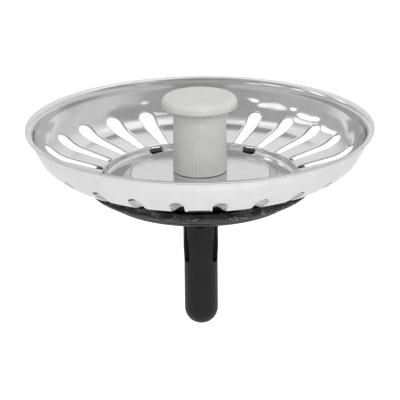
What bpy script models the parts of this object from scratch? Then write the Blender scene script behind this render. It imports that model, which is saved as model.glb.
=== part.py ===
"""A kitchen sink drain cover: a slotted basket with a knob in it, over a seal and a springy stem.

The origin is the centre of the rim's flat top, the stem points down and the basket opens upwards.
Sizes are in metres. A size that ends in depth is measured down from the top of the rim.
"""
import math

import bmesh
import bpy
from mathutils import Matrix, Vector

TURN = 2 * math.pi

# Fits. The gap is what two separate pieces keep between them, and a cut runs past a face by the overrun.
gap = 0.0003
overrun = 0.001
weld_distance = 0.000003

# Basket: one pressing of thin sheet
sheet = 0.00055
rim_width = 0.0012
lip_bend = 0.0010
wall_slope = math.radians(65)
bowl_bend = 0.0118
floor_slope = math.radians(15.5)
floor_width = 0.00780

# Sunk channel in the bowl's floor, and the raised table inside it
channel_radius = 0.0236
channel_lean = 0.0004
channel_depth = 0.0133
channel_height = 0.0013
channel_width = 0.0064
channel_bend = 0.0007
table_lean = 0.0012
table_rise = 0.0021
table_bend = 0.0008

# Slots that let the water through. They start out from the channel and end where the wall gets steep.
slot_count = 24
slot_start = 0.0002
slot_turn = math.radians(-0.7)
slot_end_slope = math.radians(49.1)
slot_inner_width = 0.0022
slot_outer_width = 0.0038
slot_corner = 0.0004

# Small drain holes in the corner of the channel
drain_count = 6
drain_turn = math.radians(-1.8)
drain_width = 0.0033
drain_height = 0.0022

# Stud that runs down the middle, with its head moulded into the knob and its end in the stem
stud_radius = 0.0020
stud_grip = 0.0118
head_across_flats = 0.0070
head_height = 0.0028
head_cover = 0.0041

# Knob
knob_foot_radius = 0.00655
knob_neck_radius = 0.00635
knob_foot_bend = 0.0009
flute_count = 48
flute_depth = 0.00014
cap_radius = 0.0090
cap_underside = 0.0046
cap_top = 0.0072
cap_bend = 0.0011

# Washer and nut that clamp the stack
washer_radius = 0.0060
washer_thickness = 0.0008
nut_across_flats = 0.0070
nut_height = 0.0022

# Seal: a thick ring of rubber round the channel, with a bevelled edge in two stages
seal_overhang = 0.0041
seal_rim_drop = 0.0002
seal_bevel_width = 0.00135
seal_bevel_height = 0.00127
seal_foot_width = 0.00165
seal_foot_height = 0.00113
seal_edge_bend = 0.00025

# Backing disc under the seal, with a hub that reaches up to the washer
disc_inset = 0.0005
disc_taper = 0.0020
disc_thickness = 0.0014
disc_edge_bend = 0.0003
hub_radius = 0.0055

# Stem: a sleeve split into spring fingers, over a solid end. Each split is wide below and narrow above.
stem_radius = 0.00405
stem_tip_length = 0.0164
sleeve_wall = 0.00105
finger_count = 3
finger_swell = 0.00013
finger_top_gap = 0.0006
split_length = 0.0166
split_width = 0.0023
split_neck_width = 0.0009
split_wide_length = 0.0040
split_narrowing_length = 0.0040
split_end_shares = (0, 0.12, 0.45, 1)
hinge_height = 0.0012

# How finely the round pieces are divided
basket_steps = 72
round_steps = 48
small_steps = 36
bend_steps = 2
bowl_bend_steps = 5
slot_side_steps = 4
slot_end_steps = 4
split_steps = 4
finger_steps = 8
nose_steps = 7
crease_angle = math.radians(35)

# Places that follow from the sizes above
channel_edge_depth = channel_depth - channel_height
bend_tangent = bowl_bend * math.tan((wall_slope - floor_slope) / 2)
corner_reach = floor_width + bend_tangent
corner_radius = channel_radius + corner_reach * math.cos(floor_slope)
corner_height = corner_reach * math.sin(floor_slope) - channel_edge_depth
mouth_radius = corner_radius - corner_height / math.tan(wall_slope)
rim_radius = mouth_radius + rim_width
slot_end = floor_width + (slot_end_slope - floor_slope) * bowl_bend
channel_inner_radius = channel_radius - channel_lean - channel_width
table_radius = channel_inner_radius - table_lean
table_depth = channel_depth - table_rise
seal_top_radius = channel_radius + seal_overhang
seal_waist_radius = seal_top_radius - seal_bevel_width
seal_foot_radius = seal_waist_radius - seal_foot_width
seal_rim_depth = channel_depth + seal_rim_drop
seal_waist_depth = seal_rim_depth + seal_bevel_height
seal_foot_depth = seal_waist_depth + seal_foot_height
disc_top_radius = seal_foot_radius - disc_inset
disc_foot_radius = disc_top_radius - disc_taper
disc_foot_depth = seal_foot_depth + gap + disc_thickness
split_end_depth = disc_foot_depth + split_length
split_wide_depth = split_end_depth - split_wide_length
split_narrow_depth = split_wide_depth - split_narrowing_length
stem_nose_depth = split_end_depth + stem_tip_length
stud_top = cap_underside - head_cover
stud_end_depth = split_end_depth + stud_grip
sleeve_bore_radius = stem_radius - sleeve_wall
finger_head_radius = stem_radius + finger_swell


def clear_scene():
    """Remove whatever the scene holds."""
    for thing in list(bpy.data.objects):
        bpy.data.objects.remove(thing, do_unlink=True)


def material(name, colour, roughness, metallic=0.0):
    """A plain surface of one colour."""
    surface = bpy.data.materials.new(name)
    surface.use_nodes = True
    shader = surface.node_tree.nodes["Principled BSDF"]
    shader.inputs["Base Color"].default_value = (*colour, 1)
    shader.inputs["Roughness"].default_value = roughness
    shader.inputs["Metallic"].default_value = metallic
    return surface


def corner(start, vertex, end, bend, steps):
    """The points of an arc of radius bend that rounds off the vertex between start and end."""
    arrive = (vertex - start).normalized()
    leave = (end - vertex).normalized()
    turn = arrive.angle(leave)
    reach = bend * math.tan(turn / 2)
    centre = vertex + (leave - arrive).normalized() * (bend / math.cos(turn / 2))
    first = vertex - arrive * reach - centre
    last = vertex + leave * reach - centre
    points = []
    for step in range(steps + 1):
        share = step / steps
        blend = first * math.sin((1 - share) * turn) + last * math.sin(share * turn)
        points.append(centre + blend / math.sin(turn))
    return points


def rounded(outline):
    """Turn an open outline of (radius, height, bend) into points, with each bend drawn as an arc."""
    points = [Vector(outline[0][:2])]
    for before, here, after in zip(outline, outline[1:], outline[2:]):
        vertex = Vector(here[:2])
        if here[2] > 0:
            steps = bowl_bend_steps if here[2] == bowl_bend else bend_steps
            points += corner(Vector(before[:2]), vertex, Vector(after[:2]), here[2], steps)
        else:
            points.append(vertex)
    points.append(Vector(outline[-1][:2]))
    return points


def keep(name, mesh, surface):
    """Put a finished mesh in the scene as one object."""
    piece = bpy.data.objects.new(name, mesh)
    bpy.context.scene.collection.objects.link(piece)
    if surface is not None:
        mesh.materials.append(surface)
    mesh.shade_smooth()
    mesh.set_sharp_from_angle(angle=crease_angle)
    return piece


def turned(name, section, steps, surface=None, closed=True):
    """Spin a section, given as (radius, height) points, once round the upright axis."""
    shape = bmesh.new()
    corners = [shape.verts.new((point[0], 0, point[1])) for point in section]
    edges = [shape.edges.new(pair) for pair in zip(corners, corners[1:])]
    if closed and min(point[0] for point in section) > 0:
        edges.append(shape.edges.new((corners[-1], corners[0])))
    around = {"axis": (0, 0, 1), "cent": (0, 0, 0), "angle": TURN, "steps": steps}
    bmesh.ops.spin(shape, geom=corners + edges, use_merge=True, **around)
    bmesh.ops.remove_doubles(shape, verts=shape.verts, dist=weld_distance)
    bmesh.ops.recalc_face_normals(shape, faces=shape.faces)
    mesh = bpy.data.meshes.new(name)
    shape.to_mesh(mesh)
    shape.free()
    return keep(name, mesh, surface)


def lofted(name, loops, surface=None):
    """Skin a stack of closed loops that have as many points each, and cap both ends."""
    shape = bmesh.new()
    rings = [[shape.verts.new(point) for point in loop] for loop in loops]
    for ring in (rings[0], rings[-1]):
        shape.faces.new(ring)
    for low, high in zip(rings, rings[1:]):
        for this in range(len(low)):
            after = (this + 1) % len(low)
            shape.faces.new((low[this], low[after], high[after], high[this]))
    bmesh.ops.recalc_face_normals(shape, faces=shape.faces)
    mesh = bpy.data.meshes.new(name)
    shape.to_mesh(mesh)
    shape.free()
    return keep(name, mesh, surface)


def circle(radius, height, count, depth=0.0):
    """A ring of points, every second one sunk by depth."""
    points = []
    for this in range(count):
        angle = TURN * this / count
        reach = radius - depth * (this % 2)
        points.append(Vector((reach * math.cos(angle), reach * math.sin(angle), height)))
    return points


def hexagon(across_flats, low, high):
    """The two loops of a hexagonal prism."""
    radius = across_flats / 2 / math.cos(TURN / 12)
    return [circle(radius, low, 6), circle(radius, high, 6)]


def ring_of_cutters(name, mesh, count, first_angle):
    """Join copies of a cutter's mesh into one cutter, spaced evenly round the axis."""
    shape = bmesh.new()
    for this in range(count):
        start = len(shape.verts)
        shape.from_mesh(mesh)
        shape.verts.ensure_lookup_table()
        spin = Matrix.Rotation(first_angle + TURN * this / count, 4, "Z")
        bmesh.ops.transform(shape, matrix=spin, verts=shape.verts[start:])
    joined = bpy.data.meshes.new(name)
    shape.to_mesh(joined)
    shape.free()
    return keep(name, joined, None)


def cut(piece, cutter):
    """Take the cutter's shape out of the piece."""
    cutter.hide_render = True
    cutter.display_type = "WIRE"
    tool = piece.modifiers.new(cutter.name, "BOOLEAN")
    tool.operation = "DIFFERENCE"
    tool.object = cutter


def basket_face():
    """The basket's top face, from the rim's edge in to the hole for the stud."""
    return rounded([
        (rim_radius, 0, 0),
        (mouth_radius, 0, lip_bend),
        (corner_radius, corner_height, bowl_bend),
        (channel_radius, -channel_edge_depth, channel_bend),
        (channel_radius - channel_lean, -channel_depth, channel_bend),
        (channel_inner_radius, -channel_depth, channel_bend),
        (table_radius, -table_depth, table_bend),
        (stud_radius + gap, -table_depth, 0),
    ])


def bowl_at(reach):
    """The point of the bowl's top face at a distance out from the channel, and the way out square to it."""
    along = Vector((math.cos(floor_slope), math.sin(floor_slope)))
    square = Vector((math.sin(floor_slope), -math.cos(floor_slope)))
    bend_start = Vector((channel_radius, -channel_edge_depth)) + along * floor_width
    if reach <= floor_width:
        return bend_start - along * (floor_width - reach), square
    slope = floor_slope + (reach - floor_width) / bowl_bend
    out = Vector((math.sin(slope), -math.cos(slope)))
    return bend_start + (out - square) * bowl_bend, out


def slot_stations():
    """One slot's half width at each distance out from the channel: square inside and round outside."""
    inner = slot_inner_width / 2
    outer = slot_outer_width / 2
    start = slot_start + slot_corner
    length = slot_end - outer - start
    stations = [(slot_start, inner - slot_corner)]
    for step in range(slot_side_steps + 1):
        share = step / slot_side_steps
        stations.append((start + length * share, inner + (outer - inner) * share))
    for step in range(1, slot_end_steps + 1):
        angle = TURN / 4 * step / slot_end_steps
        half = max(slot_corner, outer * math.cos(angle))
        stations.append((slot_end - outer + outer * math.sin(angle), half))
    return stations


def slot_loop(reach, half):
    """The section of one slot's cutter, square to the sheet and through it."""
    point, out = bowl_at(reach)
    above = point - out * overrun
    below = point + out * (sheet + overrun)
    ends = ((above, half), (above, -half), (below, -half), (below, half))
    return [Vector((end.x, side, end.y)) for end, side in ends]


def make_basket(steel):
    """The pressed bowl, with its rim, slots, channel, raised table and stud hole."""
    basket = turned("basket", basket_face(), basket_steps, steel, closed=False)
    if basket.data.polygons[0].normal.z < 0:
        basket.data.flip_normals()
    wall = basket.modifiers.new("sheet", "SOLIDIFY")
    wall.thickness = sheet
    wall.offset = -1
    wall.use_even_offset = True

    slot = lofted("slot", [slot_loop(*station) for station in slot_stations()])
    slots = ring_of_cutters("slots", slot.data, slot_count, TURN / slot_count / 2 + slot_turn)
    bpy.data.objects.remove(slot, do_unlink=True)
    cut(basket, slots)

    tall = drain_height / 2
    wide = drain_width / 2
    end = [Vector((0, y, z)) for y, z in ((wide, -tall), (-wide, -tall), (-wide, tall), (wide, tall))]
    along = Vector((drain_height, 0, 0))
    drain = lofted("drain", [[point - along for point in end], [point + along for point in end]])
    place = Matrix.Translation((channel_radius - channel_lean, 0, -channel_depth))
    drain.data.transform(place @ Matrix.Rotation(TURN / 8, 4, "Y"))
    drains = ring_of_cutters("drains", drain.data, drain_count, drain_turn)
    bpy.data.objects.remove(drain, do_unlink=True)
    cut(basket, drains)
    return basket


def make_knob(plastic):
    """The fluted grip under its broad cap, with room inside for the stud and its head."""
    count = flute_count * 2
    base = gap - table_depth
    loops = []
    for step in range(bend_steps + 1):
        angle = TURN / 4 * step / bend_steps
        radius = knob_foot_radius - knob_foot_bend * (1 - math.sin(angle))
        height = base + knob_foot_bend * (1 - math.cos(angle))
        loops.append(circle(radius, height, count, flute_depth * step / bend_steps))
    loops.append(circle(knob_neck_radius, cap_underside - flute_depth, count, flute_depth))
    loops.append(circle(knob_neck_radius, cap_underside, count))
    loops.append(circle(cap_radius, cap_underside, count))
    for step in range(bend_steps + 1):
        angle = TURN / 4 * step / bend_steps
        radius = cap_radius - cap_bend * (1 - math.cos(angle))
        loops.append(circle(radius, cap_top - cap_bend * (1 - math.sin(angle)), count))
    knob = lofted("knob", loops, plastic)

    floor = stud_top - head_height - gap
    cut(knob, lofted("head_pocket", hexagon(head_across_flats + 2 * gap, floor, stud_top + gap)))
    bore = stud_radius + gap
    low = base - overrun
    core = [(0, low), (bore, low), (bore, stud_top), (0, stud_top)]
    cut(knob, turned("knob_bore", core, small_steps))
    return knob


def make_stud(steel):
    """A rod with a hexagonal head."""
    low = -stud_end_depth
    high = stud_top - gap
    rod = [(0, low), (stud_radius, low), (stud_radius, high), (0, high)]
    stud = turned("stud", rod, small_steps, steel)
    head = lofted("stud_head", hexagon(head_across_flats, stud_top - head_height, stud_top))
    join = stud.modifiers.new("head", "BOOLEAN")
    join.operation = "UNION"
    join.object = head
    head.hide_render = True
    head.display_type = "WIRE"
    return stud


def ring_section(inner, outer, low, high):
    """The section of a plain ring."""
    return [(inner, low), (outer, low), (outer, high), (inner, high)]


def washer_foot():
    """The height of the washer's lower face, which sits under the middle of the basket."""
    return -table_depth - sheet - gap - washer_thickness


def make_washer(steel):
    """A flat washer between the basket and the backing disc's hub."""
    low = washer_foot()
    section = ring_section(stud_radius + gap, washer_radius, low, low + washer_thickness)
    return turned("washer", section, small_steps, steel)


def make_seal(rubber):
    """A rubber ring that cups the underside of the channel and ends in a bevelled edge."""
    channel_foot = -channel_depth - sheet - gap
    cup_radius = channel_radius + sheet + gap
    bore = hub_radius + gap
    section = rounded([
        (bore, channel_foot, 0),
        (cup_radius, channel_foot, 0),
        (cup_radius, -seal_rim_depth, 0),
        (seal_top_radius, -seal_rim_depth, seal_edge_bend),
        (seal_waist_radius, -seal_waist_depth, 0),
        (seal_foot_radius, -seal_foot_depth, seal_edge_bend),
        (bore, -seal_foot_depth, 0),
    ])
    return turned("seal", section, round_steps, rubber)


def make_backing_disc(plastic):
    """A thin disc that holds the seal up, with a hub in the middle and a pocket for the nut."""
    top = -seal_foot_depth - gap
    hub_top = washer_foot() - gap
    bore = stud_radius + gap
    section = rounded([
        (bore, hub_top, 0),
        (hub_radius, hub_top, 0),
        (hub_radius, top, 0),
        (disc_top_radius, top, disc_edge_bend),
        (disc_foot_radius, -disc_foot_depth, disc_edge_bend),
        (bore, -disc_foot_depth, 0),
    ])
    disc = turned("backing_disc", section, round_steps, plastic)
    roof = nut_height - disc_foot_depth + gap
    pocket = hexagon(nut_across_flats + 2 * gap, -disc_foot_depth - overrun, roof)
    cut(disc, lofted("nut_pocket", pocket))
    return disc


def make_nut(steel):
    """The nut in the backing disc's pocket, which clamps everything above it to the knob."""
    nut = lofted("nut", hexagon(nut_across_flats, -disc_foot_depth, nut_height - disc_foot_depth), steel)
    bore = stud_radius + gap
    low = -disc_foot_depth - overrun
    high = low + nut_height + 2 * overrun
    cut(nut, turned("nut_bore", [(0, low), (bore, low), (bore, high), (0, high)], small_steps))
    return nut


def make_stem(plastic):
    """The solid lower part of the stem, closed by a round nose and bored for the stud."""
    top = -split_end_depth - gap
    bore = stud_radius + gap
    bore_end = -stud_end_depth - gap
    centre = stem_radius - stem_nose_depth
    section = [(0, bore_end), (bore, bore_end), (bore, top), (stem_radius, top)]
    for step in range(nose_steps + 1):
        angle = TURN / 4 * step / nose_steps
        section.append((stem_radius * math.cos(angle), centre - stem_radius * math.sin(angle)))
    section[-1] = (0, -stem_nose_depth)
    return turned("stem", section, small_steps, plastic)


def split_half_width(height):
    """Half the width of the gap between two fingers: narrow above, wide below, and round at its end."""
    ease = (-height - split_narrow_depth) / (split_wide_depth - split_narrow_depth)
    ease = min(1, max(0, ease))
    ease = ease * ease * (3 - 2 * ease)
    half = (split_neck_width + (split_width - split_neck_width) * ease) / 2
    above_end = height + split_end_depth
    if above_end < half:
        half = math.sqrt(max(0, half * half - (half - above_end) ** 2))
    return max(half, gap / 2)


def finger_loop(height):
    """The outline of one finger at a height, as it stands on the -Y side of the stem."""
    swell = min(1, (height + split_end_depth) / (split_end_depth - split_wide_depth))
    outer = stem_radius + (finger_head_radius - stem_radius) * swell
    half_angle = TURN / finger_count / 2 - split_half_width(height) / stem_radius
    points = []
    for radius, direction in ((outer, 1), (sleeve_bore_radius, -1)):
        for step in range(finger_steps + 1):
            angle = direction * half_angle * (2 * step / finger_steps - 1)
            points.append(Vector((radius * math.sin(angle), -radius * math.cos(angle), height)))
    return points


def make_fingers(plastic):
    """The spring fingers, each with its origin on the line at its root that it bends about."""
    top = -disc_foot_depth - finger_top_gap
    heights = [split_width / 2 * share - split_end_depth for share in split_end_shares]
    for step in range(split_steps + 1):
        heights.append((split_wide_depth - split_narrow_depth) * step / split_steps - split_wide_depth)
    heights.append(top)
    root = Vector((0, -(stem_radius + sleeve_bore_radius) / 2, hinge_height - split_end_depth))
    loops = [[point - root for point in finger_loop(height)] for height in heights]
    for this in range(finger_count):
        finger = lofted(f"spring_finger_{this + 1}", loops, plastic)
        turn = Matrix.Rotation(TURN * this / finger_count, 4, "Z")
        finger.location = turn @ root
        finger.rotation_euler = (0, 0, TURN * this / finger_count)


def build():
    """Make every piece."""
    clear_scene()
    steel = material("polished_steel", (0.78, 0.78, 0.76), 0.12, 1)
    dull_steel = material("plain_steel", (0.60, 0.60, 0.60), 0.35, 1)
    grey_plastic = material("grey_plastic", (0.60, 0.60, 0.58), 0.45)
    black_plastic = material("black_plastic", (0.020, 0.020, 0.021), 0.40)
    rubber = material("black_rubber", (0.030, 0.030, 0.030), 0.75)
    make_basket(steel)
    make_knob(grey_plastic)
    make_stud(dull_steel)
    make_washer(dull_steel)
    make_seal(rubber)
    make_backing_disc(black_plastic)
    make_nut(dull_steel)
    make_stem(black_plastic)
    make_fingers(black_plastic)


build()
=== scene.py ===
# %% [markdown]
# A sink strainer plug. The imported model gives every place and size. This lesson dresses it: a bowl pressed
# from polished sheet, a fluted plastic knob, a dusty rubber seal, and a black stem with three spring
# fingers.

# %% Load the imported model
import bisect
import math

import bmesh
import bpy
from mathutils import Matrix, Vector, kdtree


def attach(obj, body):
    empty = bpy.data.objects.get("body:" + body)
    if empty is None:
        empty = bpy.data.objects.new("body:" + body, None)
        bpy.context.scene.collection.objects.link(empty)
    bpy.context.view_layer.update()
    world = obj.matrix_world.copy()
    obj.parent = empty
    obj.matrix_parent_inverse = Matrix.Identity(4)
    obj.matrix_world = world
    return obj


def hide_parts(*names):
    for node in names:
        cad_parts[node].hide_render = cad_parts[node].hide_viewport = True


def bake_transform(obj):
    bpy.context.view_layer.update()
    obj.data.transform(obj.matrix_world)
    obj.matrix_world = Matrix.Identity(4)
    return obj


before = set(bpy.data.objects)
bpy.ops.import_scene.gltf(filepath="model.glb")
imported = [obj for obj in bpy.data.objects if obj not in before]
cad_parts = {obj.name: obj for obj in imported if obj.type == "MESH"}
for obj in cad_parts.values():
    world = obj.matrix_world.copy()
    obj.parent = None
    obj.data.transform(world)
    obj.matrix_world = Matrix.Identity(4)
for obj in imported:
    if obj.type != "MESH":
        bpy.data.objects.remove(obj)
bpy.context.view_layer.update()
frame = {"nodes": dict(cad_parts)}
TURN = 2 * math.pi
print("nodes:", ", ".join(frame["nodes"]))

# %% [markdown]
# The camera stands where the photographer stood. It could be placed by eye, but here its distance, height
# and lens were worked out from the ellipse of the rim, so the plug fills the frame as it does in the
# photograph.

# %% Camera
camera_distance = 0.5
camera_elevation = math.radians(17.6)
camera_roll = math.radians(-0.56)
image_pixels = 400
focal_pixels = 2102.5
rim_centre_pixel = (199.7, 124.87)
sensor_width = 36


def place_camera():
    """Stand the camera back from the rim's centre, and turn it until that centre falls on its pixel."""
    data = bpy.data.cameras.new("camera")
    data.sensor_width = sensor_width
    data.lens = focal_pixels / image_pixels * sensor_width
    data.clip_start = camera_distance / 10
    data.clip_end = camera_distance * 20
    camera = bpy.data.objects.new("camera", data)
    bpy.context.scene.collection.objects.link(camera)
    back = Vector((0, -math.cos(camera_elevation), math.sin(camera_elevation)))
    camera.location = back * camera_distance
    across = (rim_centre_pixel[0] - image_pixels / 2) / focal_pixels
    down = (rim_centre_pixel[1] - image_pixels / 2) / focal_pixels
    look = Matrix.Rotation(math.atan(across), 4, "Y") @ Matrix.Rotation(math.atan(down), 4, "X")
    base = (-back).to_track_quat("-Z", "Y").to_matrix().to_4x4()
    roll = Matrix.Rotation(camera_roll, 4, "Z")
    camera.rotation_euler = (base @ roll @ look).to_euler()
    bpy.context.scene.camera = camera
    return camera


camera = place_camera()
print("lens:", round(camera.data.lens, 1), "mm")

# %% [markdown]
# Round things start as a ring of points. Pulling the ring on, by extrude, scale and move, traces the side
# of the piece, as on a potter's wheel. Spinning a profile would do the same, but a ring leaves no seam to
# close.

# %% Helpers for modelling by hand
merge_distance = 0.000002


def deselect():
    """Leave edit mode and select nothing."""
    if bpy.context.mode != "OBJECT":
        bpy.ops.object.mode_set(mode="OBJECT")
    bpy.ops.object.select_all(action="DESELECT")


def take(piece):
    """Make one piece the only one that is selected."""
    deselect()
    piece.select_set(True)
    bpy.context.view_layer.objects.active = piece


def edit(piece, kind="VERT"):
    """Open a piece in edit mode with nothing in it selected."""
    take(piece)
    bpy.ops.object.mode_set(mode="EDIT")
    bpy.ops.mesh.select_mode(type=kind)
    bpy.ops.mesh.select_all(action="DESELECT")


def pick(wanted, faces=False):
    """Select the points, or faces, for which wanted says yes, in the piece that is open in edit mode."""
    data = bpy.context.object.data
    mesh = bmesh.from_edit_mesh(data)
    chosen = 0
    for part in mesh.faces if faces else mesh.verts:
        part.select = bool(wanted(part))
        chosen += part.select
    mesh.select_flush_mode()
    bmesh.update_edit_mesh(data)
    return chosen


# %% Rings
def start_ring(name, radius, height, corners):
    """Add a ring of points round the upright axis and open it, selected, in edit mode."""
    deselect()
    bpy.ops.mesh.primitive_circle_add(vertices=corners, radius=radius, location=(0, 0, height))
    ring = bpy.context.object
    ring.name = ring.data.name = name
    bpy.ops.object.transform_apply(location=True, rotation=True, scale=True)
    bpy.ops.object.mode_set(mode="EDIT")
    bpy.ops.mesh.select_mode(type="VERT")
    bpy.ops.mesh.select_all(action="SELECT")
    return ring


def pull_ring(radius, height):
    """Extrude the selected ring, and bring the new one to a radius and a height."""
    mesh = bmesh.from_edit_mesh(bpy.context.object.data)
    ring = [vert.co for vert in mesh.verts if vert.select]
    before = max(place.xy.length for place in ring)
    low = ring[0].z
    bpy.ops.mesh.extrude_region_move()
    share = radius / before
    bpy.ops.transform.resize(value=(share, share, 1), center_override=(0, 0, 0))
    bpy.ops.transform.translate(value=(0, 0, height - low))


def close_up():
    """Merge doubled points and turn every face outwards."""
    bpy.ops.mesh.select_all(action="SELECT")
    bpy.ops.mesh.remove_doubles(threshold=merge_distance)
    bpy.ops.mesh.normals_make_consistent(inside=False)
    deselect()


# %% Finished pieces
def finish_piece(piece, material, body, slot, *nodes):
    """Shade a piece smooth, give it its material, and let it stand for its CAD nodes on a body."""
    take(piece)
    bpy.ops.object.shade_smooth()
    piece.data.materials.clear()
    piece.data.materials.append(material)
    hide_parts(*nodes)
    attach(piece, body)
    deselect()
    print(piece.name, "has", len(piece.data.polygons), "faces")


def apply_modifier(piece, kind, **settings):
    """Add a modifier, set it and apply it."""
    take(piece)
    modifier = piece.modifiers.new(kind.lower(), kind)
    for name, value in settings.items():
        setattr(modifier, name, value)
    bpy.ops.object.modifier_apply(modifier=modifier.name)


def spread(piece, count):
    """Copies of a piece all the way round, the last of them being the piece itself."""
    copies = []
    for this in range(count):
        take(piece)
        if this < count - 1:
            bpy.ops.object.duplicate()
        copy = bpy.context.object
        copy.rotation_euler = (0, 0, TURN * (this + 1) / count)
        bpy.ops.object.transform_apply(location=False, rotation=True, scale=False)
        copies.append(copy)
    return copies


# %% [markdown]
# No real edge is sharp, and on polished steel the bend of an edge is where the light shows. A corner is
# therefore given with the radius of its bend. A Bevel modifier could round it later, but with an arc in the
# outline itself every bend has just the size that the photograph shows.

# %% Rounded outlines
def corner(before, vertex, after, bend, steps):
    """Points of the arc of radius bend that rounds a corner off."""
    arrive = (vertex - before).normalized()
    leave = (after - vertex).normalized()
    turn = arrive.angle(leave)
    reach = bend * math.tan(turn / 2)
    centre = vertex + (leave - arrive).normalized() * (bend / math.cos(turn / 2))
    first = vertex - arrive * reach - centre
    last = vertex + leave * reach - centre
    points = []
    for step in range(steps + 1):
        share = step / steps
        mix = first * math.sin((1 - share) * turn) + last * math.sin(share * turn)
        points.append(centre + mix / math.sin(turn))
    return points


def rounded(outline, steps):
    """Turn (radius, height, bend) corners into points, each bend an arc in that many steps."""
    points = [Vector(outline[0][:2])]
    for before, here, after in zip(outline, outline[1:], outline[2:]):
        if here[2] > 0:
            points += corner(Vector(before[:2]), Vector(here[:2]), Vector(after[:2]), here[2], steps)
        else:
            points.append(Vector(here[:2]))
    return points + [Vector(outline[-1][:2])]


# %% [markdown]
# A material is a small tree of nodes. One helper adds a node, sets it and links it, so each recipe below
# reads like a list. Colours are written as a screen shows them and turned to the linear values that light
# works with.

# %% Helpers for materials
def colour(text):
    """Turn an sRGB hex colour into linear red, green, blue and full alpha."""
    channels = [int(text[place:place + 2], 16) / 255 for place in (1, 3, 5)]
    linear = [c / 12.92 if c <= 0.04045 else ((c + 0.055) / 1.055) ** 2.4 for c in channels]
    return (*linear, 1)


def node(tree, kind, settings=None, **links):
    """Add a node, set its properties and inputs, and link inputs that are given as sockets."""
    new = tree.nodes.new(kind)
    for name, value in (settings or {}).items():
        if isinstance(name, str) and hasattr(new, name):
            setattr(new, name, value)
        else:
            new.inputs[name].default_value = value
    for name, socket in links.items():
        key = int(name[1:]) if name[1:].isdigit() else name.replace("_", " ")
        tree.links.new(socket, new.inputs[key])
    return new


def ramp(tree, source, stops):
    """A colour ramp over a value, from (place, colour) stops."""
    new = node(tree, "ShaderNodeValToRGB", Fac=source)
    elements = new.color_ramp.elements
    for place, _ in stops[len(elements):]:
        elements.new(place)
    for element, (place, shade) in zip(elements, stops):
        element.position = place
        element.color = shade
    return new.outputs["Color"]


def grey(value):
    """A linear grey."""
    return (value, value, value, 1)


def fresh(name):
    """A new material with its tree, its shader and the object's own coordinates."""
    material = bpy.data.materials.new(name)
    material.use_nodes = True
    tree = material.node_tree
    shader = tree.nodes["Principled BSDF"]
    place = tree.nodes.new("ShaderNodeTexCoord").outputs["Object"]
    return material, tree, shader, place


# %% [markdown]
# The bowl is stainless steel sheet, pressed and then polished bright. It mirrors whatever stands round it,
# a little blurred. The rolls that made the sheet and the press that drew it leave a slow waviness, which
# makes the reflections swim, and the polishing leaves hair-fine rings round the axis. The real rings are
# finer than these, which are drawn coarse enough to show.

# %% Polished stainless steel
wave_size = 0.007
wave_depth = 0.000010
ring_mark_size = 0.00025
ring_mark_depth = 0.0000004
steel_roughness = (0.07, 0.13)


def polished_steel():
    """Bright stainless sheet: a blurred mirror with slow waves and fine polishing rings."""
    material, tree, shader, place = fresh("polished_stainless_steel")
    waves = node(tree, "ShaderNodeTexNoise", {"Scale": 1 / wave_size, "Detail": 1.0, "Roughness": 0.4},
                 Vector=place)
    parts = node(tree, "ShaderNodeSeparateXYZ", None, Vector=place)
    flat = node(tree, "ShaderNodeCombineXYZ", None, X=parts.outputs["X"], Y=parts.outputs["Y"])
    radius = node(tree, "ShaderNodeVectorMath", {"operation": "LENGTH"}, _0=flat.outputs[0])
    section = node(tree, "ShaderNodeCombineXYZ", None, X=radius.outputs["Value"], Y=parts.outputs["Z"])
    marks = node(tree, "ShaderNodeTexNoise", {"Scale": 1 / ring_mark_size, "Detail": 3.0, "Roughness": 0.6},
                 Vector=section.outputs[0])
    patches = node(tree, "ShaderNodeTexNoise", {"Scale": 2 / wave_size, "Detail": 4.0}, Vector=place)
    slow = node(tree, "ShaderNodeBump", {"Strength": 1.0, "Distance": wave_depth},
                Height=waves.outputs["Fac"])
    fine = node(tree, "ShaderNodeBump", {"Strength": 1.0, "Distance": ring_mark_depth},
                Height=marks.outputs["Fac"], Normal=slow.outputs["Normal"])
    tree.links.new(fine.outputs["Normal"], shader.inputs["Normal"])
    blur = node(tree, "ShaderNodeMapRange", {"To Min": steel_roughness[0], "To Max": steel_roughness[1]},
                Value=patches.outputs["Fac"])
    tree.links.new(blur.outputs["Result"], shader.inputs["Roughness"])
    tint = ramp(tree, patches.outputs["Fac"], [(0.3, colour("#E4E4E4")), (0.7, colour("#ECECEC"))])
    tree.links.new(tint, shader.inputs["Base Color"])
    shader.inputs["Metallic"].default_value = 1
    return material


steel = polished_steel()
print("made", steel.name)

# %% [markdown]
# The knob is moulded in a pale grey plastic, ABS or polypropylene. Moulded plastic has a soft skin:
# slightly uneven gloss, a fine grain, and a faint cloudiness in the colour. The real grain is finer too, and
# is drawn coarse enough to show.

# %% Moulded grey plastic
grain_size = 0.00035
cloud_size = 0.004
grain_depth = 0.000006
plastic_ior = 1.5
knob_roughness = (0.24, 0.34)


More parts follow.
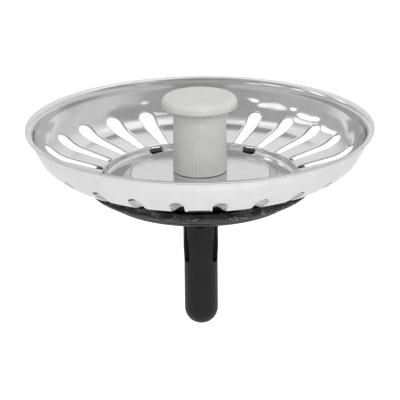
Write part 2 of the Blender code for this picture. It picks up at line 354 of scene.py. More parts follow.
def grey_plastic():
    """Satin grey moulding with a fine grain."""
    material, tree, shader, place = fresh("moulded_grey_plastic")
    clouds = node(tree, "ShaderNodeTexNoise", {"Scale": 1 / cloud_size, "Detail": 3.0}, Vector=place)
    grain = node(tree, "ShaderNodeTexNoise", {"Scale": 1 / grain_size, "Detail": 2.0}, Vector=place)
    tint = ramp(tree, clouds.outputs["Fac"], [(0.3, colour("#C9C9C7")), (0.7, colour("#D0D0CF"))])
    tree.links.new(tint, shader.inputs["Base Color"])
    gloss = node(tree, "ShaderNodeMapRange", {"To Min": knob_roughness[0], "To Max": knob_roughness[1]},
                 Value=clouds.outputs["Fac"])
    tree.links.new(gloss.outputs["Result"], shader.inputs["Roughness"])
    skin = node(tree, "ShaderNodeBump", {"Strength": 0.4, "Distance": grain_depth},
                Height=grain.outputs["Fac"])
    tree.links.new(skin.outputs["Normal"], shader.inputs["Normal"])
    shader.inputs["IOR"].default_value = plastic_ior
    return material


knob_plastic = grey_plastic()
print("made", knob_plastic.name)

# %% [markdown]
# The stem and the disc under the seal are black nylon or acetal, satin from the mould. The colour is a very
# dark grey and never pure black, so its round sides still show light.

# %% Moulded black plastic
stem_roughness = (0.38, 0.55)
stem_shine = 0.3


def black_plastic():
    """Satin black moulding with soft flow marks."""
    material, tree, shader, place = fresh("moulded_black_plastic")
    flow = node(tree, "ShaderNodeTexNoise", {"Scale": 1 / cloud_size, "Detail": 4.0, "Roughness": 0.6},
                Vector=place)
    grain = node(tree, "ShaderNodeTexNoise", {"Scale": 1 / grain_size, "Detail": 2.0}, Vector=place)
    tint = ramp(tree, flow.outputs["Fac"], [(0.3, colour("#101011")), (0.75, colour("#171718"))])
    tree.links.new(tint, shader.inputs["Base Color"])
    gloss = node(tree, "ShaderNodeMapRange", {"To Min": stem_roughness[0], "To Max": stem_roughness[1]},
                 Value=flow.outputs["Fac"])
    tree.links.new(gloss.outputs["Result"], shader.inputs["Roughness"])
    skin = node(tree, "ShaderNodeBump", {"Strength": 0.5, "Distance": grain_depth},
                Height=grain.outputs["Fac"])
    tree.links.new(skin.outputs["Normal"], shader.inputs["Normal"])
    shader.inputs["IOR"].default_value = plastic_ior
    shader.inputs["Specular IOR Level"].default_value = stem_shine
    return material


stem_plastic = black_plastic()
print("made", stem_plastic.name)

# %% [markdown]
# The seal is black moulded rubber. Rubber is dull, and it holds dust: pale specks lie in streaks along the
# way the ring was handled. The streaks are a stretched noise, thin in height and long round the ring, and a
# finer noise breaks them into specks.

# %% Dusty rubber
dust_size = 0.0009
dust_stretch = 5
rubber_skin_depth = 0.00002
rubber_roughness = 0.62
rubber_ior = 1.5
dust_shades = [(0.22, "#161616"), (0.30, "#2A2A2A"), (0.37, "#8A8A88")]


def dusty_rubber():
    """Dull black rubber with streaks and specks of pale dust."""
    material, tree, shader, place = fresh("dusty_black_rubber")
    stretched = node(tree, "ShaderNodeMapping", {"Scale": (1, 1, dust_stretch)}, Vector=place)
    streaks = node(tree, "ShaderNodeTexNoise",
                   {"Scale": 1 / (dust_size * 3), "Detail": 5.0, "Roughness": 0.65},
                   Vector=stretched.outputs["Vector"])
    specks = node(tree, "ShaderNodeTexNoise", {"Scale": 1 / (dust_size / 2), "Detail": 2.0}, Vector=place)
    both = node(tree, "ShaderNodeMath", {"operation": "MULTIPLY"},
                _0=streaks.outputs["Fac"], _1=specks.outputs["Fac"])
    tint = ramp(tree, both.outputs[0], [(share, colour(shade)) for share, shade in dust_shades])
    tree.links.new(tint, shader.inputs["Base Color"])
    rough = node(tree, "ShaderNodeBump", {"Strength": 0.6, "Distance": rubber_skin_depth},
                 Height=both.outputs[0])
    tree.links.new(rough.outputs["Normal"], shader.inputs["Normal"])
    shader.inputs["Roughness"].default_value = rubber_roughness
    shader.inputs["IOR"].default_value = rubber_ior
    return material


rubber = dusty_rubber()
print("made", rubber.name)

# %% [markdown]
# The stud, its washer and its nut are zinc-plated steel, and nearly all of them is out of sight. They keep
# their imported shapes. Zinc is greyer and duller than the polished sheet, and fine tool marks run round the
# axis.

# %% Plain fastener steel
turning_mark_size = ring_mark_size * 6
turning_mark_stretch = 12
turning_mark_depth = 0.000004
fastener_roughness = 0.38


def plain_steel():
    """Zinc-plated fastener steel with fine tool marks."""
    material, tree, shader, place = fresh("zinc_plated_steel")
    stretched = node(tree, "ShaderNodeMapping", {"Scale": (1, 1, turning_mark_stretch)}, Vector=place)
    turning = node(tree, "ShaderNodeTexNoise", {"Scale": 1 / turning_mark_size, "Detail": 3.0},
                   Vector=stretched.outputs["Vector"])
    tint = ramp(tree, turning.outputs["Fac"], [(0.3, colour("#A9AAAC")), (0.7, colour("#C3C4C6"))])
    tree.links.new(tint, shader.inputs["Base Color"])
    marks = node(tree, "ShaderNodeBump", {"Strength": 0.5, "Distance": turning_mark_depth},
                 Height=turning.outputs["Fac"])
    tree.links.new(marks.outputs["Normal"], shader.inputs["Normal"])
    shader.inputs["Metallic"].default_value = 1
    shader.inputs["Roughness"].default_value = fastener_roughness
    return material


fastener_steel = plain_steel()
for name in ("stud", "washer", "nut"):
    kept = frame["nodes"][name]
    kept.data.materials.clear()
    kept.data.materials.append(fastener_steel)
print("made", fastener_steel.name)

# %% [markdown]
# The bowl starts as the press shop starts it: a flat round blank with its slots already punched. Cutting
# slots into a finished bowl with a Boolean would leave ragged faces that a mirror shows at once. In the
# flat blank each slot gets its own neat frame of faces, and pressing then only moves points. First comes
# the line that the pressing follows: the bowl's top face from the stud's hole over the table, down into the
# channel, up the wall, over a small step under the rim, and out to the rim's edge. Each corner has its
# radius, height and bend.

# %% The bowl's profile
sheet = 0.0005
hole_radius = 0.0023
profile_corners = {
    "hole": (hole_radius, -0.0112, 0),
    "table": (0.0169, -0.0112, 0.0014),
    "channel_in": (0.0182, -0.0133, 0.0010),
    "channel_out": (0.0229, -0.0133, 0.0007),
    "channel_edge": (0.0233, -0.0118, 0.0007),
    "bowl": (0.036726, -0.008857, 0.009917),
    "step": (0.0394, -0.0026, 0.0040),
    "lip": (0.0399, 0, 0.0019),
    "rim": (0.0415, 0, 0),
}
fine_steps = 40
profile = rounded(list(profile_corners.values()), fine_steps)
reaches = [0.0]
for before, after in zip(profile, profile[1:]):
    reaches.append(reaches[-1] + (after - before).length)
arcs = {}
for count, name in enumerate(list(profile_corners)[1:-1]):
    first = 1 + count * (fine_steps + 1)
    arcs[name] = (reaches[first], reaches[first + fine_steps])
print("the flat blank is", round((hole_radius + reaches[-1]) * 2000, 1), "mm across")


# %% Places along the profile
def on_profile(reach):
    """The point of the profile at a distance out from the hole, measured along the sheet, and its way out."""
    after = min(max(bisect.bisect_right(reaches, reach), 1), len(profile) - 1)
    low = reaches[after - 1]
    share = (reach - low) / (reaches[after] - low)
    along = profile[after] - profile[after - 1]
    return profile[after - 1] + along * share, along.normalized()


def reach_at(radius):
    """The distance out along the sheet at which the profile gets to a radius."""
    for before, after, low, high in zip(profile, profile[1:], reaches, reaches[1:]):
        if before.x <= radius < after.x:
            return low + (high - low) * (radius - before.x) / (after.x - before.x)
    return reaches[-1]


# %% [markdown]
# The blank is traced in section: out along the underside, round the rim's edge and back in along the top.
# Its rings lie close together where the sheet will bend and far apart where it stays flat. It has 192
# columns, because each of the 24 slots then gets 8, and a patch with a hole in it can take the place of 6.

# %% The blank
columns = 192
column_angle = TURN / columns
slot_count = 24
slot_turn = math.radians(-0.7)
hole_in_bend = 0.00013
slot_start = arcs["channel_edge"][1] - hole_in_bend
slot_end = reach_at(0.0372)
slot_end_drift = Vector((-0.0004, -0.0010))
slot_spread = 0.0004
slot_inner_half = 0.0010
slot_outer_half = 0.00162
slot_corner = 0.0004
drain_count = 6
drain_in_bend = 0.00016
drain_start = reach_at(0.0215)
drain_end = arcs["channel_edge"][0] + drain_in_bend
drain_half = 0.00165
drain_column = -1
window_half = 3
window_margin = 0.0006
shared_ring = sum(arcs["channel_edge"]) / 2
drain_rows = 16
slot_rows = 29
rim_round = 0.0002
rim_round_steps = 4


def spaced(start, end, count):
    """Evenly spaced values after start, up to end."""
    return [start + (end - start) * step / count for step in range(1, count + 1)]


drain_rings = [drain_start - window_margin] + spaced(drain_start - window_margin, shared_ring, drain_rows)
slot_window_end = slot_end + slot_end_drift.length + 2 * window_margin
slot_rings = [shared_ring] + spaced(shared_ring, slot_window_end, slot_rows)
ring_reaches = (
    spaced(0, arcs["table"][0], 4) + spaced(*arcs["table"], 8)
    + spaced(arcs["table"][1], arcs["channel_in"][0], 2) + spaced(*arcs["channel_in"], 8)
    + spaced(arcs["channel_in"][1], drain_rings[0], 4) + drain_rings[1:] + slot_rings[1:]
    + spaced(slot_rings[-1], arcs["bowl"][1], 5) + spaced(arcs["bowl"][1], arcs["step"][0], 5)
    + spaced(*arcs["step"], 6) + spaced(arcs["step"][1], arcs["lip"][0], 3)
    + spaced(*arcs["lip"], 12) + spaced(arcs["lip"][1], reaches[-1] - rim_round, 3)
)
print("the blank has", len(ring_reaches), "rings on each side")

# %% Trace the blank
basket = start_ring("bowl", hole_radius, -sheet, columns)
for reach in ring_reaches:
    pull_ring(hole_radius + reach, -sheet)
for low in (True, False):
    for step in range(1, rim_round_steps + 1):
        angle = TURN / 4 * step / rim_round_steps
        out, up = (math.sin(angle), math.cos(angle)) if low else (math.cos(angle), math.sin(angle))
        inner = hole_radius + reaches[-1] - rim_round
        pull_ring(inner + rim_round * out, rim_round * (1 - up) - sheet if low else rim_round * (up - 1))
for reach in ring_reaches[-2::-1] + [0]:
    pull_ring(hole_radius + reach, 0)
pull_ring(hole_radius, -sheet)


# %% Clear the windows for the holes
def in_window(face):
    """Whether a face of the blank lies where a slot's or a drain's patch will go."""
    centre = face.calc_center_median()
    reach = centre.xy.length - hole_radius
    column = math.atan2(centre.y, centre.x) / column_angle
    per_slot = columns // slot_count
    per_drain = columns // drain_count
    off_slot = abs(column % per_slot - per_slot / 2)
    off_drain = abs((column - drain_column + per_drain / 2) % per_drain - per_drain / 2)
    return (slot_rings[0] < reach < slot_rings[-1] and off_slot < window_half
            or drain_rings[0] < reach < drain_rings[-1] and off_drain < window_half)


edit(basket, "FACE")
cleared = pick(in_window, faces=True)
bpy.ops.mesh.delete(type="FACE")
close_up()
print("cleared", cleared, "faces for the holes")

# %% [markdown]
# A patch is drawn like the blank, loop by loop: from its window's border on top in to the hole, over the
# lip that the punch rolls down, through the sheet, round the edge below and back out to the border. The
# rolled lip is what catches the light in beads round each slot. The punch and the press weren't on quite
# the same centre, so the slots run a little further up the wall in front than behind, and those at the back
# left came out wider.

# %% Patches with a hole
patch_steps = 6
inner_end_steps = 3
outer_end_steps = 9
slot_side_steps = window_half * 2 + slot_rows - inner_end_steps - outer_end_steps
lip_width = 0.00055
lip_depth = 0.00030
lip_steps = 6
tight_share = 0.2
low_round = 0.00015
low_round_steps = 3
drain_squareness = 0.7


def border(rings):
    """The edge of a window, from the middle of its inner side round, as (reach, angle) points."""
    side = [(rings[0], step * column_angle) for step in range(window_half)]
    side += [(reach, window_half * column_angle) for reach in rings]
    side += [(rings[-1], step * column_angle) for step in range(window_half - 1, -1, -1)]
    return side + [(reach, -angle) for reach, angle in side[-2:0:-1]]


def both_sides(side):
    """Turn the (reach, half width) points of one side into a whole outline of (reach, angle) points."""
    turned = [(reach, math.asin(half / on_profile(reach)[0].x)) for reach, half in side]
    return turned + [(reach, -angle) for reach, angle in turned[-2:0:-1]]


# %% Outlines of the slots and drain holes
def slot_outline(extra, drift, spread_out):
    """A slot grown by extra, square inside and round outside, its end moved by drift, spread_out wider."""
    start = slot_start - extra * tight_share
    end = slot_end + drift + extra
    inner = slot_inner_half + extra
    outer = slot_outer_half + spread_out + extra
    bend = slot_corner + extra * tight_share
    slant = bend * (1 - math.sqrt(0.5))
    side = [(start, 0), (start, inner - bend), (start + slant, inner - slant)]
    for step in range(slot_side_steps + 1):
        share = step / slot_side_steps
        side.append((start + bend + (end - outer - start - bend) * share, inner + (outer - inner) * share))
    for step in range(1, outer_end_steps):
        angle = TURN / 4 * step / outer_end_steps
        side.append((end - outer + outer * math.sin(angle), outer * math.cos(angle)))
    lean = spread_out / on_profile(end)[0].x / (end - start)
    return [(reach, angle + lean * (reach - start)) for reach, angle in both_sides(side + [(end, 0)])]


def drain_outline(extra):
    """A drain hole grown by extra: a rounded oblong."""
    start = drain_start - extra
    end = drain_end + extra * tight_share
    wide = drain_half + extra
    steps = window_half * 2 + drain_rows
    side = [(start, 0)]
    for step in range(1, steps):
        angle = TURN / 2 * step / steps
        run, rise = math.cos(angle), math.sin(angle)
        along = math.copysign(abs(run) ** drain_squareness, run) * (end - start) / 2
        side.append(((start + end) / 2 - along, rise ** drain_squareness * wide))
    return both_sides(side + [(end, 0)])


# %% Loops of a patch
def lip_section():
    """The (extra, depth) points of a hole's edge, from the top face over the lip to the underside."""
    points = []
    for step in range(lip_steps + 1):
        angle = TURN / 4 * step / lip_steps
        points.append((lip_width * (1 - math.sin(angle)), lip_depth * (1 - math.cos(angle))))
    for step in range(low_round_steps + 1):
        angle = TURN / 4 * step / low_round_steps
        points.append((low_round * (1 - math.cos(angle)), sheet - low_round * (1 - math.sin(angle))))
    return points


def flat_place(reach, angle, depth):
    """Where a point of the sheet lies in the flat blank."""
    radius = hole_radius + reach
    return Vector((radius * math.cos(angle), radius * math.sin(angle), -depth))


def patch_loops(outline, rings, azimuth, turn, *shape):
    """All loops of one patch, from the border on top to the border below."""
    edge = {depth: [flat_place(reach, angle + azimuth, depth) for reach, angle in border(rings)]
            for depth in (0, sheet)}
    lip = [[flat_place(reach, angle + azimuth + turn, depth) for reach, angle in outline(extra, *shape)]
           for extra, depth in lip_section()]
    over = [[a.lerp(b, share) for a, b in zip(edge[0], lip[0])] for share in spaced(0, 1, patch_steps)[:-1]]
    under = [[a.lerp(b, share) for a, b in zip(lip[-1], edge[sheet])] for share in spaced(0, 1, patch_steps)]
    return [edge[0]] + over + lip + under


# %% Punch the slots and drain holes
def make_patch(name, loops):
    """Draw a patch through its loops."""
    patch = start_ring(name, 1, 0, len(loops[0]))
    mesh = bmesh.from_edit_mesh(patch.data)
    for vert, place in zip(sorted(mesh.verts, key=lambda v: math.atan2(v.co.y, v.co.x)), loops[0]):
        vert.co = place
    for before, after in zip(loops, loops[1:]):
        bpy.ops.mesh.extrude_region_move()
        mesh = bmesh.from_edit_mesh(patch.data)
        finder = kdtree.KDTree(len(before))
        for index, place in enumerate(before):
            finder.insert(place, index)
        finder.balance()
        for vert in [vert for vert in mesh.verts if vert.select]:
            vert.co = after[finder.find(vert.co)[1]]
        bmesh.update_edit_mesh(patch.data)
    deselect()
    return patch


patches = []
for this in range(slot_count):
    azimuth = TURN * (this + 0.5) / slot_count
    wide = slot_spread * max(0, -math.sin(2 * azimuth)) * (azimuth < TURN / 2)
    drift = slot_end_drift.dot((math.cos(azimuth), math.sin(azimuth)))
    loops = patch_loops(slot_outline, slot_rings, azimuth, slot_turn, drift, wide)
    patches.append(make_patch(f"slot_patch_{this}", loops))
for this in range(drain_count):
    azimuth = TURN * this / drain_count + drain_column * column_angle
    patches.append(make_patch(f"drain_patch_{this}", patch_loops(drain_outline, drain_rings, azimuth, 0)))
take(basket)
for patch in patches:
    patch.select_set(True)
bpy.ops.object.join()
edit(basket)
close_up()
print("the punched blank has", len(basket.data.polygons), "faces")

# %% [markdown]
# Now the press comes down. Each point keeps its distance out along the sheet and its depth in it, and goes
# to its place on the bowl's profile. Between the slots' outer ends the punches left the wall softly dented,
# and these dents break the reflections of the studio into separate spots.

# %% Pressing
dent_depth = 0.00008
dent_past_slot = 0.0010
dent_centre = slot_end + dent_past_slot
dent_length = 0.0020


def pressed(place):
    """Where a point of the flat blank goes in the press."""
    reach = place.xy.length - hole_radius
    angle = math.atan2(place.y, place.x)
    point, along = on_profile(reach)
    up = Vector((-along.y, along.x))
    wave = math.cos((angle - slot_turn) * slot_count)
    dent = dent_depth * wave * math.exp(-((reach - dent_centre) / dent_length) ** 2)
    spot = point + up * (place.z + dent)
    return Vector((spot.x * math.cos(angle), spot.x * math.sin(angle), spot.y))


for vert in basket.data.vertices:
    vert.co = pressed(vert.co)
finish_piece(basket, steel, "plug", "polished_steel", "basket")

# %% [markdown]
# The knob is one grey moulding: a fluted post, a little wider at its foot, under a broad cap. The cap's
# edge is rounded over in a wide soft bend above and a small one below. It is pulled up from a ring of 192
# points, four for each flute. One column of each four is then drawn in, and the two beside it half as far,
# which makes the flutes without cutting anything.

# %% Knob
knob_foot_height = -0.0111
knob_foot_radius = 0.00645
knob_neck_radius = 0.00625
knob_foot_bend = 0.00012
flute_count = 48
flute_depth = 0.00014
flute_start = 0.6
cap_underside = 0.0046
cap_radius = 0.0090
cap_top = 0.0072
cap_bend = 0.0015
cap_low_bend = 0.0005
neck_bend = 0.0003
cap_crown_radius = 0.0060
cap_dish = 0.00005
middle_ring = 0.0030
pole_ring = 0.0006
moulding_steps = 8

knob_line = rounded([
    (middle_ring, knob_foot_height, 0),
    (knob_foot_radius, knob_foot_height, knob_foot_bend),
    (knob_neck_radius, cap_underside, neck_bend),
    (cap_radius, cap_underside, cap_low_bend),
    (cap_radius, cap_top - cap_dish, cap_bend),
    (cap_crown_radius, cap_top, 0),
    (middle_ring, cap_top, 0),
    (pole_ring, cap_top, 0),
], moulding_steps)
print("the knob is", round((cap_top - knob_foot_height) * 1000, 1), "mm high")


# %% Helpers for turned pieces
def trace(name, line, corners):
    """Pull a ring along a line of (radius, height) points. Its two ends stay open."""
    piece = start_ring(name, line[0][0], line[0][1], corners)
    for radius, height in line[1:]:
        pull_ring(radius, height)
    return piece


def close_ends(piece, *heights):
    """Close the open rings at these heights with a flat fan of faces."""
    for height in heights:
        edit(piece, "EDGE")
        bpy.ops.mesh.select_non_manifold(extend=False, use_wire=False, use_boundary=True,
                                         use_multi_face=False, use_non_contiguous=False, use_verts=False)
        mesh = bmesh.from_edit_mesh(piece.data)
        for edge in mesh.edges:
            if edge.select and abs(edge.verts[0].co.z - height) > merge_distance * 5:
                edge.select = False
        bmesh.update_edit_mesh(piece.data)
        bpy.ops.mesh.edge_face_add()
        bpy.ops.mesh.poke()
    edit(piece)
    close_up()


# %% Make the knob
def flute(piece, low, high, corners, depth):
    """Draw in one column of four, and the two beside it half as far, between two heights."""
    for phase, share in ((2, 1), (1, 0.5), (3, 0.5)):
        def on_column(vert):
            column = round(math.atan2(vert.co.y, vert.co.x) / TURN * corners) % 4
            return column == phase and low < vert.co.z < high
        edit(piece)
        pick(on_column)
        factor = 1 - depth * share / knob_neck_radius
        bpy.ops.transform.resize(value=(factor, factor, 1), center_override=(0, 0, 0))
    deselect()


knob = trace("grip_knob", knob_line, flute_count * 4)
close_ends(knob, knob_foot_height, cap_top)
flute_low = knob_foot_height + knob_foot_bend * flute_start
flute_high = cap_underside - neck_bend / 2
flute(knob, flute_low, flute_high, flute_count * 4, flute_depth)
finish_piece(knob, knob_plastic, "plug", "grey_plastic", "knob")

# %% [markdown]
# Under the bowl sits the seal, a thick rubber ring with a bevelled edge in two stages, and under that a
# thin black disc with a pocket for the nut. Both are turned shapes, and their lines end where they start,
# so that merging the doubled points closes them. The moulds leave soft edges, so every outer corner is a
# small bend.

# %% Seal and backing disc
rubber_bend = 0.00025
bevel_bend = 0.0006
small_bend = 0.00008
disc_bend = 0.0003
bend_steps = 5
round_corners = 144
seal_hole_radius = 0.0058
seal_middle_radius = 0.0120
seal_seat = (0.02445, -0.0143)
seal_edge = (0.02775, -0.0138)
seal_bevel = (0.0264, -0.0151)
seal_base = (0.0248, -0.0160)
disc_hole_radius = 0.0023
disc_edge = (0.0243, -0.0163)
disc_base = (0.0222, -0.0176)
pocket_rim_radius = 0.0045
pocket_top = (0.0044, -0.0165)
seal_line = rounded([
    (seal_hole_radius, seal_seat[1], 0),
    (*seal_seat, small_bend),
    (seal_seat[0], seal_edge[1], small_bend),
    (*seal_edge, rubber_bend),
    (*seal_bevel, bevel_bend),
    (*seal_base, rubber_bend),
    (seal_middle_radius, seal_base[1], 0),
    (seal_hole_radius, seal_base[1], 0),
    (seal_hole_radius, seal_seat[1], 0),
], bend_steps)
disc_line = rounded([
    (disc_hole_radius, disc_edge[1], 0),
    (*disc_edge, small_bend),
    (*disc_base, disc_bend),
    (pocket_rim_radius, disc_base[1], 0),
    (pocket_top[0], disc_base[1], 0),
    (*pocket_top, 0),
    (disc_hole_radius, pocket_top[1], 0),
    (disc_hole_radius, disc_edge[1], 0),
], bend_steps)
print("the seal is", round((seal_edge[1] - seal_base[1]) * 1000, 1), "mm thick,",
      "the disc", round((disc_edge[1] - disc_base[1]) * 1000, 1), "mm")

# %% Make the seal and the disc
seal = trace("rubber_seal", seal_line, round_corners)
edit(seal)
close_up()
finish_piece(seal, rubber, "plug", "black_rubber", "seal")
disc = trace("seal_backing_disc", disc_line, round_corners)
edit(disc)
close_up()
finish_piece(disc, stem_plastic, "plug", "black_plastic", "backing_disc")

# %% [markdown]
# The stem is one black moulding. Its lower part is solid and ends in a round nose, with the small mark
# where the plastic came into the mould. Its upper part is a sleeve, split into three fingers that spring
# inwards. Two rings close to the edge at its top keep the smooth shading from running over that edge as a
# dark band.

# %% Solid end of the stem
stem_radius = 0.00406
stem_nose = -0.0506
split_end = -0.0342
gate_radius = 0.0006
gate_height = 0.00015
gate_rim = 1.3
stem_corners = 96
stem_rows = 10
stem_middle_ring = 0.0023
nose_steps = 16
nose_bluntness = 0.93
seam_edge = 0.00003
stem_line = [Vector((gate_radius, stem_nose + gate_height)), Vector((gate_radius, stem_nose))]
for step in range(1, nose_steps + 1):
    angle = TURN / 4 * step / nose_steps
    radius = stem_radius * math.sin(angle) ** nose_bluntness
    height = stem_nose + stem_radius * (1 - math.cos(angle))
    stem_line.append(Vector((max(gate_radius * gate_rim, radius), height)))
sides = spaced(stem_line[-1].y, split_end - seam_edge, stem_rows)
stem_line += [Vector((stem_radius, height)) for height in sides]
for radius in (stem_radius, stem_radius - seam_edge, stem_middle_ring):
    stem_line.append(Vector((radius, split_end)))
stem = trace("stem_end", stem_line, stem_corners)
close_ends(stem, stem_nose + gate_height, split_end)
finish_piece(stem, stem_plastic, "plug", "black_plastic", "stem")

# %% [markdown]
# Each finger is a flat grid that is wrapped on the sleeve's cylinder, with its sides drawn in to the split,
# which is narrow above, wide below and round at its end. A shallow oval is sunk near its top. Solidify then
# gives it the sleeve's wall, and two turned copies make the other fingers.

# %% Spring fingers
sleeve_wall = 0.00105
finger_top = -0.0179
finger_head_radius = 0.00421
split_wide = 0.0023
split_narrow = 0.0009
split_wide_top = -0.0302
split_narrow_start = -0.0262
recess_height = -0.0226
recess_half_width = 0.00165
recess_half_height = 0.0020
recess_depth = 0.0005
recess_edge = 0.00022
sharp_angle = math.radians(40)
finger_count = 3
finger_columns = 48
root_rows = 8
lower_rows = 22
upper_rows = 46
upper_start = -0.0250
finger_heights = [split_end]
for step in range(1, root_rows + 1):
    finger_heights.append(split_end + split_wide / 2 * (1 - math.cos(TURN / 4 * step / root_rows)))
finger_heights += spaced(finger_heights[-1], upper_start, lower_rows)
finger_heights += spaced(upper_start, finger_top, upper_rows)


# %% The shape of a finger
def ease(share):
    """A smooth start and stop between nought and one."""
    share = min(1, max(0, share))
    return share * share * (3 - 2 * share)


def split_half(height):
    """Half the width of the split at a height."""
    narrowing = ease((split_narrow_start - height) / (split_narrow_start - split_wide_top))
    half = (split_narrow + (split_wide - split_narrow) * narrowing) / 2
    above_end = height - split_end
    if above_end < half:
        half = math.sqrt(max(0, half * half - (half - above_end) ** 2))
    return half


def wrapped(column, row):
    """The place on the finger's outer face of a point of the grid, column from -1 to 1."""
    height = finger_heights[row]
    swell = ease((height - split_end) / (split_wide_top - split_end))
    radius = stem_radius + (finger_head_radius - stem_radius) * swell
    angle = column * (TURN / finger_count / 2 - split_half(height) / stem_radius)
    off = math.hypot(angle * radius / recess_half_width, (height - recess_height) / recess_half_height)
    inside = ease((1 - off) * recess_half_width / recess_edge + 0.5)
    radius -= recess_depth * inside
    return Vector((radius * math.sin(angle), -radius * math.cos(angle), height))


# %% Make the fingers
def make_finger():
    """The finger on the -Y side: a grid wrapped on the sleeve, then given its wall."""
    rows = len(finger_heights) - 1
    deselect()
    bpy.ops.mesh.primitive_grid_add(x_subdivisions=finger_columns, y_subdivisions=rows, size=2)
    piece = bpy.context.object
    for vert in piece.data.vertices:
        vert.co = wrapped(vert.co.x, round((vert.co.y + 1) / 2 * rows))
    edit(piece)
    bpy.ops.mesh.select_all(action="SELECT")
    bpy.ops.mesh.normals_make_consistent(inside=False)
    deselect()
    outward = piece.data.polygons[0]
    if outward.normal.xy.dot(outward.center.xy) < 0:
        piece.data.flip_normals()
    apply_modifier(piece, "SOLIDIFY", thickness=sleeve_wall, offset=-1, use_even_offset=True)
    return piece


finger_one = make_finger()
fingers = spread(finger_one, finger_count)
for finger in fingers:
    middle = sum((vert.co for vert in finger.data.vertices), Vector()) / len(finger.data.vertices)
    number = round((math.atan2(middle.y, middle.x) + TURN / 4) / (TURN / finger_count)) % finger_count + 1
    finger.name = finger.data.name = f"stem_finger_{number}"
    take(finger)
    bpy.ops.object.shade_smooth_by_angle(angle=sharp_angle)
    finger.data.materials.clear()
    finger.data.materials.append(stem_plastic)
    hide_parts(f"spring_finger_{number}")
    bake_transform(finger)
    deselect()

# %% [markdown]
# The studio is plain: a pale floor far below, a white room and one broad soft lamp. A white background
# could come from more light, but that would wash the plug out. Instead the camera's own rays see the floor
# and the room lifted to white, and mirrored rays see the floor lifted a little.

# %% Floor
floor_height = -0.30
floor_size = 8
floor_paint = 0.72
floor_for_camera = 0.62
floor_for_mirrors = 0.20


def make_floor():
    """A pale floor that reads white and still keeps a shadow."""
    deselect()
    bpy.ops.mesh.primitive_plane_add(size=floor_size, location=(0, 0, floor_height))
    floor = bpy.context.object
    floor.name = "studio_floor"
    material = bpy.data.materials.new("pale_floor")
    material.use_nodes = True
    tree = material.node_tree
    tree.nodes.clear()
    ray = node(tree, "ShaderNodeLightPath")
    mirrored = node(tree, "ShaderNodeMath", {"operation": "MULTIPLY", 1: floor_for_mirrors},
                    _0=ray.outputs["Is Glossy Ray"])
    share = node(tree, "ShaderNodeMath", {"operation": "MULTIPLY_ADD", 1: floor_for_camera},
                 _0=ray.outputs["Is Camera Ray"], _2=mirrored.outputs[0])
    paint = node(tree, "ShaderNodeBsdfDiffuse", {"Color": grey(floor_paint)})
    glow = node(tree, "ShaderNodeEmission", {"Color": grey(1)}, Strength=share.outputs[0])
    both = node(tree, "ShaderNodeAddShader", None, _0=paint.outputs[0], _1=glow.outputs[0])
    node(tree, "ShaderNodeOutputMaterial", None, Surface=both.outputs[0])
    floor.data.materials.append(material)
    return floor


make_floor()
print("the floor lies", round(-floor_height * 1000), "mm below the rim")

# %% [markdown]
# Polished steel shows the room more than itself, so the room that only mirrors see is drawn with care. It
# is greyer on the left and in front, paler at the back, dims overhead and has a row of small round lamps.
# Their places and levels were set against the light and dark spots that the steel shows in the
# photograph. Modelled panels and lamps would do the same, but soft patches of the world need no geometry.

# %% Room
room_sides = (0.48, 0.66)
room_side_span = (-0.55, 0.35)
room_low_span = (0.20, 0.26)
room_low_levels = (0.55, 0.80)
room_back_span = (0.2, 0.5)
room_for_rest = 0.80
lamp_core = 0.6
# Each soft patch: its azimuth and height, the angles at which it is full and gone, and its level.
soft_patches = [(90, 50, 20, 45, 0.86), (-20, 62, 14, 30, 0.38), (180, 66, 10, 34, 0.42),
                (-90, 40, 30, 55, 0.40), (-90, 80, 12, 18, 0.30), (116, 57, 5, 9, 1.1), (64, 58, 8, 13, 1.1)]
# Each small lamp: its azimuth and height, its size as an angle, and its strength.
lamp_row = [(-132, 35, 6, 1.4), (-152, 43, 9, 1.2), (-171, 34, 6, 1.6), (166, 36, 7, 1.6), (157, 48, 7, 1.2),
            (139, 33, 6, 1.4), (-45, 38, 6, 1.0), (-8, 70, 8, 0.9)]


def toward(azimuth, height):
    """The direction at an azimuth and a height over the horizon, both in degrees."""
    turn, rise = math.radians(azimuth), math.radians(height)
    return Vector((math.cos(rise) * math.cos(turn), math.cos(rise) * math.sin(turn), math.sin(rise)))


def patch_of_light(tree, way, before, azimuth, height, inner, outer, level):
    """Turn the room to a level round one direction, fully within the inner angle and not past the outer."""
    near = node(tree, "ShaderNodeVectorMath", {"operation": "DOT_PRODUCT", 1: toward(azimuth, height)},
                _0=way)
    share = node(tree, "ShaderNodeMapRange", {"From Min": math.cos(math.radians(outer)),
                                              "From Max": math.cos(math.radians(inner)),
                                              "interpolation_type": "SMOOTHSTEP"},
                 Value=near.outputs["Value"])
    mixed = node(tree, "ShaderNodeMix", {"data_type": "FLOAT", 3: level})
    tree.links.new(share.outputs["Result"], mixed.inputs[0])
    tree.links.new(before, mixed.inputs[2])
    return mixed.outputs[0]


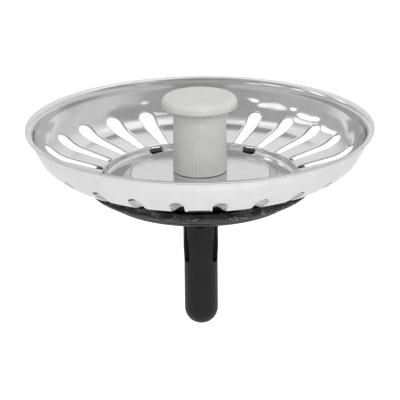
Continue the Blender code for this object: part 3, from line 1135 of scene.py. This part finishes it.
# %% Make the room
def make_room():
    """A white room. Mirrors see it grey in front and overhead, paler at the back, with a row of lamps."""
    world = bpy.data.worlds.new("studio_room")
    bpy.context.scene.world = world
    world.use_nodes = True
    tree = world.node_tree
    tree.nodes.clear()
    way = tree.nodes.new("ShaderNodeTexCoord").outputs["Generated"]
    parts = node(tree, "ShaderNodeSeparateXYZ", None, Vector=way)
    side = node(tree, "ShaderNodeMapRange", {"From Min": room_side_span[0], "From Max": room_side_span[1],
                                             "To Min": room_sides[0], "To Max": room_sides[1],
                                             "interpolation_type": "SMOOTHSTEP"}, Value=parts.outputs["X"])
    level = side.outputs["Result"]
    for azimuth, height, inner, outer, shade in soft_patches:
        level = patch_of_light(tree, way, level, azimuth, height, inner, outer, shade)
    for azimuth, height, size, strength in lamp_row:
        level = patch_of_light(tree, way, level, azimuth, height, size * lamp_core, size, strength)
    low = node(tree, "ShaderNodeMapRange", {"From Min": room_low_span[0], "From Max": room_low_span[1]},
               Value=parts.outputs["Z"])
    behind = node(tree, "ShaderNodeMapRange", {"From Min": room_back_span[0], "From Max": room_back_span[1],
                                               "To Min": room_low_levels[0], "To Max": room_low_levels[1]},
                  Value=parts.outputs["Y"])
    room = node(tree, "ShaderNodeMix", {"data_type": "FLOAT"})
    tree.links.new(low.outputs["Result"], room.inputs[0])
    tree.links.new(behind.outputs["Result"], room.inputs[2])
    tree.links.new(level, room.inputs[3])
    ray = node(tree, "ShaderNodeLightPath")
    for_mirrors = node(tree, "ShaderNodeBackground", {"Strength": 1.0}, Color=room.outputs[0])
    for_rest = node(tree, "ShaderNodeBackground", {"Color": grey(1), "Strength": room_for_rest})
    for_camera = node(tree, "ShaderNodeBackground", {"Color": grey(1), "Strength": 1.0})
    mirrored = node(tree, "ShaderNodeMixShader", None, Fac=ray.outputs["Is Glossy Ray"])
    tree.links.new(for_rest.outputs[0], mirrored.inputs[1])
    tree.links.new(for_mirrors.outputs[0], mirrored.inputs[2])
    seen = node(tree, "ShaderNodeMath", {"operation": "MAXIMUM"}, _0=ray.outputs["Is Camera Ray"],
                _1=ray.outputs["Is Transmission Ray"])
    final = node(tree, "ShaderNodeMixShader", None, Fac=seen.outputs[0])
    tree.links.new(mirrored.outputs[0], final.inputs[1])
    tree.links.new(for_camera.outputs[0], final.inputs[2])
    node(tree, "ShaderNodeOutputWorld", None, Surface=final.outputs[0])
    return world


make_room()
print("the room has", len(soft_patches), "soft patches and", len(lamp_row), "small lamps")

# %% [markdown]
# One broad disc lights the plug from in front, a little above and to the right. A small lamp would throw
# hard shadows, which the photograph doesn't have. Mirrored rays pass through it, because the steel already
# shows the room's own lights.

# %% Lamp
lamp_place = (0.30, -0.95, 0.50)
lamp_size = 0.9
lamp_power = 6.0


def make_lamp():
    """One broad soft lamp, in front, a little above and to the right."""
    data = bpy.data.lights.new("soft_lamp", "AREA")
    data.shape = "DISK"
    data.size = lamp_size
    data.energy = lamp_power
    lamp = bpy.data.objects.new("soft_lamp", data)
    bpy.context.scene.collection.objects.link(lamp)
    lamp.location = lamp_place
    lamp.visible_glossy = False
    lamp.rotation_euler = (-lamp.location).to_track_quat("-Z", "Y").to_euler()
    return lamp


make_lamp()
print("the lamp is", round(lamp_size * 1000), "mm across")

# %% [markdown]
# Last, the colours are shown as they are written.

# %% View settings
bpy.context.scene.view_settings.view_transform = "Standard"
